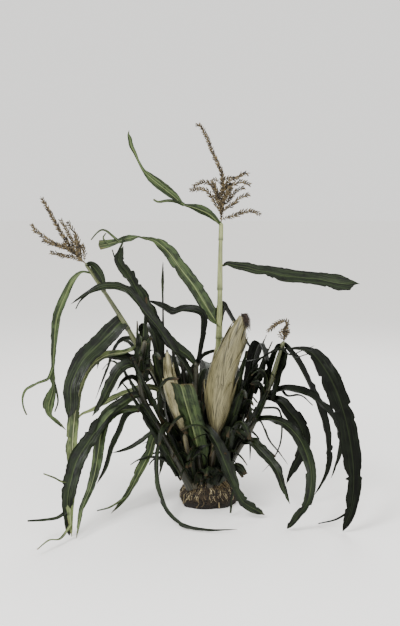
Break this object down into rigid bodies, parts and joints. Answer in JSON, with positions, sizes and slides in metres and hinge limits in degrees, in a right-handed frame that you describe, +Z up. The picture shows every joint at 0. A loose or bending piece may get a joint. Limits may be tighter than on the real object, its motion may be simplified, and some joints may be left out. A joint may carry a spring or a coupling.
{
  "type": "maize plant on its root ball",
  "caption": "Dwarf maize plant with many leaning shoots, arching and drooping strap leaves, tassels and husked ears, dug up and standing on its own root ball.",
  "frame": {"origin": "middle of the flat underside of the root ball, on the surface that the plant stands on", "axes": "+Z up along the main stalk, +X from the long leaning shoot with its tassel to the short shoot opposite it, +Y to the back, away from the side that carries the large ear"},
  "size_m": [0.7864, 0.5982, 0.9117],
  "materials": {
    "root_ball": "matt, rough soil with fibrous roots",
    "stem": "satin, smooth green sheaths",
    "leaf": "satin, ribbed leaf blade",
    "husk": "matt, papery husk",
    "tassel": "matt, chaffy spikelets"
  },
  "bodies": {
    "root": {"root_ball": "root_ball", "main_stalk": "stem", "left_shoot": "stem", "short_left_shoot": "stem", "middle_shoot": "stem", "right_shoot": "stem", "right_inner_shoot": "stem", "right_front_shoot": "stem", "back_left_shoot": "stem", "back_right_shoot": "stem", "large_ear": "husk", "small_ear": "husk", "main_tassel": "tassel", "left_tassel": "tassel", "right_tassel": "tassel", "main_flag_leaf": "leaf", "main_right_leaf": "leaf", "main_left_leaf": "leaf", "main_arched_leaf": "leaf", "front_leaf": "leaf", "front_right_leaf": "leaf", "middle_leaf_1": "leaf", "middle_leaf_2": "leaf", "middle_leaf_3": "leaf", "left_leaf_1": "leaf", "left_leaf_2": "leaf", "left_broad_leaf": "leaf", "left_leaf_3": "leaf", "left_leaf_4": "leaf", "left_leaf_5": "leaf", "left_leaf_6": "leaf", "left_folded_leaf": "leaf", "upright_leaf": "leaf", "short_left_leaf_1": "leaf", "short_left_leaf_2": "leaf", "short_left_leaf_3": "leaf", "short_left_leaf_4": "leaf", "short_left_leaf_5": "leaf", "short_left_leaf_6": "leaf", "low_left_leaf": "leaf", "floor_leaf_1": "leaf", "right_folded_leaf": "leaf", "right_leaf_1": "leaf", "right_leaf_2": "leaf", "right_broad_leaf": "leaf", "right_leaf_3": "leaf", "right_leaf_4": "leaf", "right_leaf_5": "leaf", "right_leaf_6": "leaf", "right_leaf_7": "leaf", "right_leaf_8": "leaf", "back_leaf_1": "leaf", "back_leaf_2": "leaf", "back_leaf_3": "leaf", "back_leaf_4": "leaf", "back_leaf_5": "leaf", "back_leaf_6": "leaf", "back_leaf_7": "leaf"}
  },
  "joints": []
}
